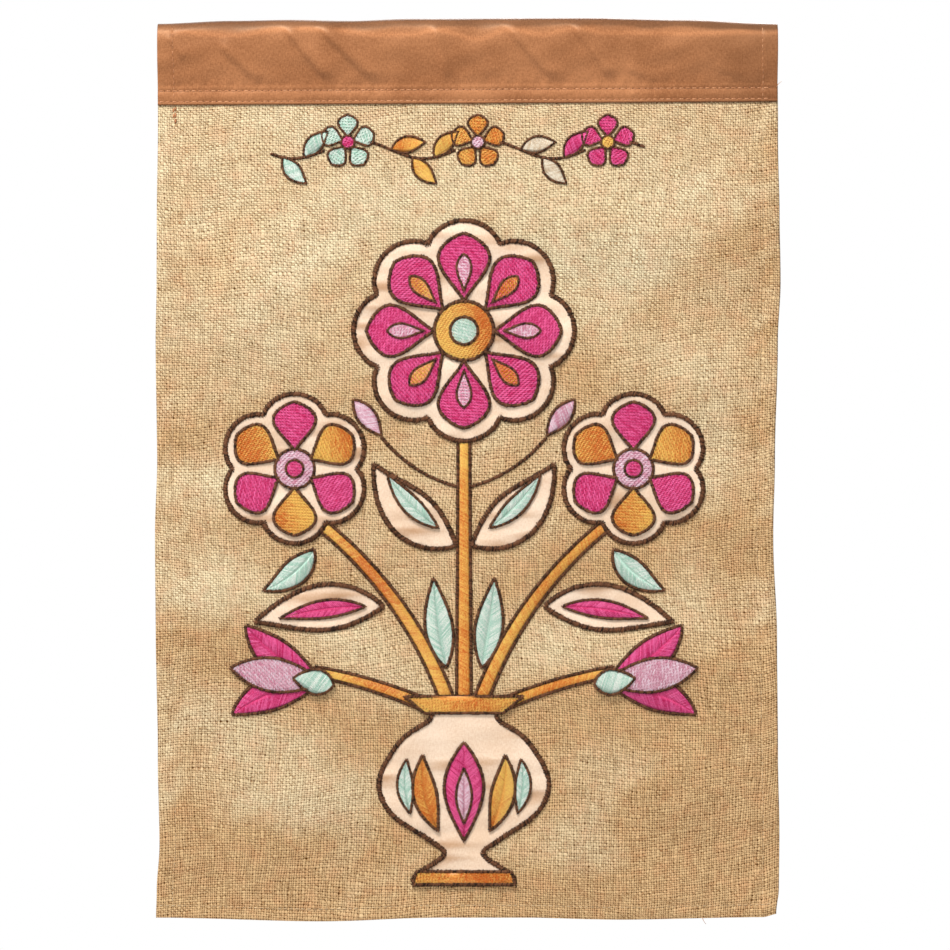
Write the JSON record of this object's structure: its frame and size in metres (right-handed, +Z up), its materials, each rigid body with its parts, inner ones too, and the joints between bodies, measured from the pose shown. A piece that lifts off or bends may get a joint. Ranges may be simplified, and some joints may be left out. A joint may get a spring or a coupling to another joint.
{
  "type": "garden flag",
  "caption": "Hanging burlap garden flag with a satin rod sleeve along its top edge and an embroidered and appliqued ornament on its front.",
  "frame": {"origin": "middle of the rod sleeve's top fold, where the flag hangs from its rod", "axes": "+Z up along the hanging cloth, +X along the rod to the viewer's right, -Y out of the decorated front"},
  "size_m": [0.318, 0.0144, 0.4592],
  "materials": {
    "burlap": "natural tan plain weave burlap, coarse, matt, with slubs",
    "sleeve_satin": "caramel brown satin with a soft sheen",
    "cream_satin": "cream satin applique with a soft sheen"
  },
  "bodies": {
    "root": {"panel": "burlap", "sleeve": "sleeve_satin", "applique_vase": "cream_satin", "applique_bloom_top": "cream_satin", "applique_bloom_left": "cream_satin", "applique_bloom_right": "cream_satin", "applique_leaf_upper_left": "cream_satin", "applique_leaf_upper_right": "cream_satin", "applique_leaf_lower_left": "cream_satin", "applique_leaf_lower_right": "cream_satin"}
  },
  "joints": []
}
